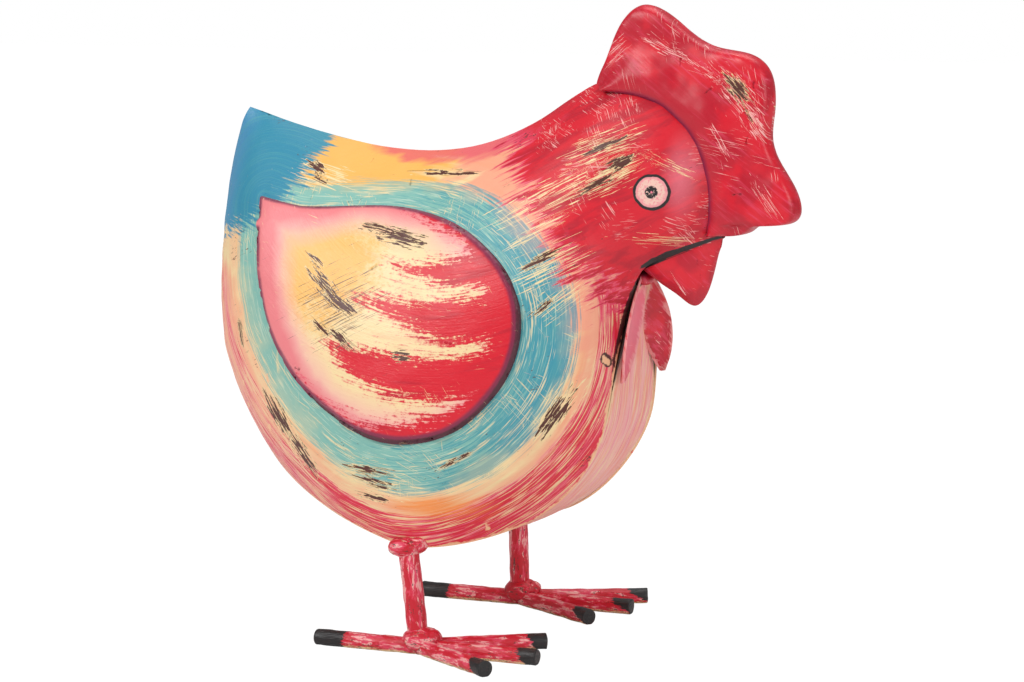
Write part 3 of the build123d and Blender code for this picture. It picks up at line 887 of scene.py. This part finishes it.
@dataclass
class Wings:
    """Raised wing panels with a rounded rim and feather strokes."""

    nodes: dict
    rounding: float = 3.4
    bow_centre: tuple[float, float] = (-12.0, 275.0)
    feathers: tuple = (
        ((38, 192, 9), (28, 189, 7.0), (10, 187.5, 6.5), (-10, 185.5, 3.0), (-40, 188, -4.0)),
        ((40, 168, 13), (20, 165, 10), (2, 163.5, 9), (-16, 165, 5.0), (-52, 172, -2.0)),
        ((36, 145, 12), (18, 138, 9), (-4, 135.5, 9), (-26, 137, 8), (-46, 142, 5.0), (-64, 150, -2.0)),
        ((30, 130, 7), (5, 115, 5), (-16, 109, 4), (-38, 107, 2), (-65, 116, 0), (-86, 135, -2.0)),
    )
    chips: tuple = (
        (-34, 201, 19, 5.5, -8), (-45, 204, 15, 3.0, -10), (-68, 176, 16, 5.0, -40),
        (-58, 169, 13, 4.5, -32), (-23, 146, 6, 4.5, 0), (-56, 153, 11, 3.6, -34),
        (-76, 189, 8, 2.4, -34), (-69, 158, 9, 2.6, -36),
    )

    def build(self) -> None:
        """Builds both wings."""
        paint = WingPaint().build()
        for name, side in SIDES:
            bm = merged_copy(self.nodes["wing_" + name], 2.0)
            p = points_of(bm)
            rim = self.round_rim(bm, self.nodes["side_shell_" + name])
            hammer(bm, lambda v: Vector((0.0, side, 0.0)), 0.35, 15.0, 5.0 * side)
            make_piece(bm, "wing_" + name, paint, self.levels(p, side, rim))

    def round_rim(self, bm: BMesh, shell: bpy.types.Object) -> np.ndarray:
        """Rolls the panel's edge down to the shell.

        Args:
            bm: the wing.
            shell: the side shell that it sits on.

        Returns:
            Distance of each vertex from the outline, in millimetres.
        """
        tree = surface(shell)
        feet = [tree.find_nearest(v.co)[0] for v in bm.verts]
        heights = [(v.co - foot).length for v, foot in zip(bm.verts, feet)]
        reaches = gaps_to(bm, [k for k, h in enumerate(heights) if h < SEATED * MM])
        gaps = []
        for vert, foot, height, reach in zip(bm.verts, feet, heights, reaches):
            inside = math.sqrt(max(reach * reach - height * height, 0.0)) / MM
            gaps.append(inside)
            share = min(inside / self.rounding, 1.0)
            keep = 0.30 + 0.70 * math.sqrt(1.0 - (1.0 - share) ** 2)
            if height > SEATED * MM:
                vert.co = foot + (vert.co - foot) * keep
        bm.normal_update()
        return np.array(gaps)

    def levels(self, p: np.ndarray, side: float, rim: np.ndarray) -> Levels:
        """Works out the paint levels of a wing.

        Args:
            p: vertex places in millimetres.
            side: -1 for right, 1 for left.
            rim: distance from the outline.

        Returns:
            Levels by name.
        """
        x, _, z = p.T
        radius = np.hypot(x - self.bow_centre[0], z - self.bow_centre[1])
        theta = np.arctan2(x - self.bow_centre[0], self.bow_centre[1] - z)
        flow = np.stack([np.sin(theta) * 120.0, np.cos(theta) * 120.0, radius], 1) * MM
        strokes = np.max([ribbon(p, list(path)) for path in self.feathers], axis=0)
        right = unit((x - 2.0) / 26.0)
        border = 2.0 + 15.0 * right + 2.0 * unit((135.0 - z) / 30.0) - rim
        red = np.maximum(strokes, border - 14.0 * unit((-20.0 - x) / 40.0))
        corner = np.clip(((x + 40.0) * 0.6 - (z - 160.0) * 0.8) / 60.0, -0.6, 1.0)
        return {
            "flow": flow, "feather": red,
            "outline": 2.8 + 1.0 * corner - rim,
            "pink": 13.0 + 7.0 * unit((-60.0 - x) / 40.0) - rim,
            "gold": 21.0 - np.hypot((x + 78.0) * 0.6, (z - 187.0) * 0.8),
            "hatch": unit(1.3 - np.hypot((x + 60.0) / 27.0, (z - 168.0) / 24.0)),
            **marks(p, "chip", self.chips, side),
        }


@dataclass
class Head:
    """Comb, lower beak and wattles."""

    nodes: dict
    chips: tuple = ((125.5, 275.0, 12.0, 5.5, -42.0), (131.0, 263.0, 7.0, 1.6, -55.0))
    scuffs: tuple = (
        (126, 272, 22, 9, -45), (134, 258, 16, 6, -55), (60, 290, 12, 6, 40), (92, 292, 20, 3.5, -24),
        (118, 250, 14, 2.5, -60), (140, 224, 12, 4, -55), (108, 284, 22, 2.5, -32), (96, 180, 8, 2.5, -60),
    )
    mouth: tuple = ((76.5, 186.6, 0.6), (83.0, 190.0, 1.3), (117.0, 203.6, 0.5))

    def build(self) -> None:
        """Builds the red pieces of the head."""
        comb = RedPaint("red_acrylic_on_comb", 0.02, 0.8, -38.0).build()
        beak = RedPaint("red_acrylic_on_beak", 0.0, 0.4, -50.0).build()
        leaf = RedPaint("red_acrylic_on_wattle", 0.10, 0.7, -62.0).build()
        for name, side in SIDES:
            self.dress("comb_" + name, comb, side, 2.2, 0.9, 15.0)
            self.dress("beak_" + name, beak, side, 1.5, 0.2, 8.0)
            self.dress("wattle_" + name, leaf, side, 1.5, 0.35, 9.0)
        self.dress("throat_weld", leaf, 0.0, 1.5, 0.4, 4.0)

    def dress(self, node: str, paint: bpy.types.Material, side: float, longest: float,
              depth: float, size: float) -> None:
        """Copies, hammers and paints one piece.

        Args:
            node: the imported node.
            paint: its finish.
            side: -1 right, 1 left, 0 middle.
            longest: longest edge, in millimetres.
            depth: depth of the dents, in millimetres.
            size: width of a dent, in millimetres.
        """
        bm = merged_copy(self.nodes[node], longest)
        p = points_of(bm)
        none = np.full(len(p), NOWHERE)
        crease = self.crease(p) if "comb" in node else none
        # Painted highlight levels: a band along the comb's rounded base beside the crease, and the
        # forward-facing side of the near wattle.
        roll_highlight = 0.36 * unit(1.0 - np.abs(crease + 9.0) / 7.0)
        front = unit(1.4 * np.array([v.normal.x for v in bm.verts]))
        levels = {
            **marks(p, "chip", self.chips if "comb" in node else (), side),
            **marks(p, "scuff", self.scuffs, side),
            "rim": (1.0 - rim_gap(bm, p)) if "wattle" in node else none,
            "crease": crease,
            "high": front if node == "wattle_right" else roll_highlight,
            "mouth": ribbon(p, list(self.mouth)) if "beak" in node else none,
        }
        lean = Vector((0.0, side, 0.0))
        hammer(bm, lambda v: lean if side and abs(v.co.y) > 1.5 * MM else Vector(), depth, size, side)
        make_piece(bm, node, paint, levels)

    def crease(self, p: np.ndarray) -> np.ndarray:
        """Depth inside the painted shade at the crease where the comb meets the head, in millimetres."""
        tree = surface(self.nodes["side_shell_right"])
        gaps = [tree.find_nearest(Vector((x, -abs(y), z)) * MM)[3] / MM for x, y, z in p]
        return 3.0 - np.array(gaps)


@dataclass
class Feet:
    """Legs, foot bars, toes and their welds."""

    nodes: dict
    claw: float = 9.5

    def build(self) -> None:
        """Builds both legs and feet."""
        rod = RodPaint("rubbed_acrylic_on_bar").build()
        for name, _ in SIDES:
            for part in ("leg", "foot_bar", "inner_toe", "outer_toe"):
                self.bar(f"{name}_{part}", rod)
            for part in ("ankle_weld", "hip_weld"):
                self.weld(f"{name}_{part}", rod)

    def bar(self, node: str, paint: bpy.types.Material) -> None:
        """Builds one round bar with softened ends and, on a toe, its black claw.

        Args:
            node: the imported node.
            paint: its finish.
        """
        bm = bmesh.new()
        bm.from_mesh(self.nodes[node].data)
        bmesh.ops.remove_doubles(bm, verts=bm.verts, dist=MERGE * MM)
        bmesh.ops.dissolve_limit(bm, angle_limit=math.radians(1.0), verts=bm.verts, edges=bm.edges)
        ends = [e for e in bm.edges if e.calc_face_angle(0.0) > math.radians(70.0)]
        bmesh.ops.bevel(bm, geom=ends, offset=0.7 * MM, affect="EDGES", segments=3, profile=0.5,
                        material=-1, clamp_overlap=True)
        bmesh.ops.triangulate(bm, faces=bm.faces)
        refine(bm, 2.4)
        levels = self.levels(bm, node)
        hammer(bm, lambda v: v.normal, 0.3, 6.0, 2.0)
        self.ground(bm)
        make_piece(bm, node, paint, levels)

    def levels(self, bm: BMesh, node: str) -> Levels:
        """Works out the paint levels of a bar: its claws and the pale underside of a toe.

        Args:
            bm: the bar.
            node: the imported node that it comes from.

        Returns:
            Levels by name.
        """
        p = points_of(bm)
        low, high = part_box(node.split("_")[0] + "_ankle_weld")
        ankle = np.array((low + high) / 2) / MM
        basis = np.linalg.svd(p - p.mean(0), full_matrices=False)[2]
        own = (p - ankle) @ basis.T
        own[:, 0] *= np.sign(own[:, 0].mean()) if "bar" not in node else np.sign(basis[0][0])
        ahead = own[:, 0].max() - own[:, 0]
        behind = own[:, 0] - own[:, 0].min()
        normals = np.array([v.normal.z for v in bm.verts])
        up = np.clip(2.6 * normals - 1.6, -3.6, 1.0)
        claw = self.claw - ahead + up
        if node.startswith("left"):
            claw += np.clip(5.0 * (normals - 0.6), -6.0, 0.0)
        if "bar" in node:
            claw = np.maximum(claw, 5.5 + self.claw - behind * 0.9 + 0.3 * up)
        toe = "leg" not in node
        return {
            "flow": own * MM,
            "claw": claw if toe else np.full(len(p), NOWHERE),
            "under": -2.2 - 3.6 * normals if toe else -3.2 + 1.5 * np.sin(p[:, 2] * 0.35),
        }

    def ground(self, bm: BMesh) -> None:
        """Keeps a piece from reaching below the surface that the feet stand on."""
        for vert in bm.verts:
            vert.co.z = max(vert.co.z, 0.0)

    def weld(self, node: str, paint: bpy.types.Material) -> None:
        """Builds one lumpy weld.

        Args:
            node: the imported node.
            paint: its finish.
        """
        bm = merged_copy(self.nodes[node], 1.6)
        p = points_of(bm)
        hammer(bm, lambda v: v.normal, 0.6, 4.5, 6.0)
        self.ground(bm)
        levels = {"flow": p * MM, "claw": np.full(len(p), NOWHERE), "under": np.full(len(p), -1.2)}
        make_piece(bm, node, paint, levels)


@dataclass
class Studio:
    """Pale floor, soft lights, white surroundings and the camera."""

    target: tuple[float, float, float] = (0.0045, 0.0, 0.147)
    azimuth: float = 24.4
    elevation: float = 7.1
    distance: float = 1.771
    lens: float = 125.7

    def build(self) -> None:
        """Sets up the floor, world, lamps and camera."""
        scene = bpy.context.scene
        scene.view_settings.view_transform = "Standard"
        self.floor()
        self.world(scene)
        self.lamp("key", (-0.9, -1.6, 1.5), 1.0, 29.0)
        self.lamp("fill", (1.9, -0.9, 0.9), 0.9, 15.0)
        self.lamp("top", (0.2, 0.4, 1.9), 1.2, 15.0)
        self.camera(scene)

    def floor(self) -> None:
        """A wide pale floor that keeps the figure's shadow."""
        bm = bmesh.new()
        bmesh.ops.create_grid(bm, x_segments=1, y_segments=1, size=6.0)
        mesh = bpy.data.meshes.new("floor")
        bm.to_mesh(mesh)
        bm.free()
        graph = PaintGraph(bpy.data.materials.new("pale_floor"))
        ray = graph.add("ShaderNodeLightPath", out="Is Camera Ray")
        matt = graph.add("ShaderNodeBsdfDiffuse", {"Color": (0.86, 0.86, 0.86, 1.0)})
        glow = graph.add("ShaderNodeEmission", {"Color": (1.0, 1.0, 1.0, 1.0), "Strength": 1.10})
        part = graph.maths("MULTIPLY", ray, 0.90)
        mixed = graph.add("ShaderNodeMixShader", {0: part, 1: matt, 2: glow})
        graph.add("ShaderNodeOutputMaterial", {"Surface": mixed})
        mesh.materials.append(graph.owner)
        floor = bpy.data.objects.new("floor", mesh)
        bpy.context.scene.collection.objects.link(floor)

    def world(self, scene: bpy.types.Scene) -> None:
        """White surroundings: dimmer as light than as background."""
        scene.world = bpy.data.worlds.new("studio")
        graph = PaintGraph(scene.world)
        ray = graph.add("ShaderNodeLightPath", out="Is Camera Ray")
        strength = graph.add("ShaderNodeMapRange", {"Value": ray, "To Min": 0.30, "To Max": 1.0})
        back = graph.add("ShaderNodeBackground", {"Color": (1.0, 1.0, 1.0, 1.0), "Strength": strength})
        graph.add("ShaderNodeOutputWorld", {"Surface": back})

    def lamp(self, name: str, place: tuple[float, float, float], size: float, power: float) -> None:
        """Adds one soft square lamp that looks at the figure.

        Args:
            name: lamp name.
            place: where it stands, in metres.
            size: side of the lamp, in metres.
            power: watts.
        """
        light = bpy.data.lights.new(name, "AREA")
        light.size = size
        light.energy = power
        holder = bpy.data.objects.new(name, light)
        holder.location = place
        aim = Vector(self.target) - Vector(place)
        holder.rotation_euler = aim.to_track_quat("-Z", "Y").to_euler()
        bpy.context.scene.collection.objects.link(holder)

    def camera(self, scene: bpy.types.Scene) -> None:
        """Adds the camera."""
        turn, rise = math.radians(self.azimuth), math.radians(self.elevation)
        away = Vector((math.sin(turn) * math.cos(rise), -math.cos(turn) * math.cos(rise), math.sin(rise)))
        lens = bpy.data.cameras.new("camera")
        lens.lens = self.lens
        lens.sensor_width = 36.0
        camera = bpy.data.objects.new("camera", lens)
        camera.location = Vector(self.target) + away * self.distance
        camera.rotation_euler = (-away).to_track_quat("-Z", "Y").to_euler()
        scene.collection.objects.link(camera)
        scene.camera = camera


def main() -> None:
    """Builds the rooster and its studio."""
    logging.basicConfig(level=logging.INFO, format="%(message)s")
    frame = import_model()
    nodes = frame["nodes"]
    Body(nodes).build()
    Wings(nodes).build()
    Head(nodes).build()
    Feet(nodes).build()
    Studio().build()


if __name__ == "__main__":
    main()
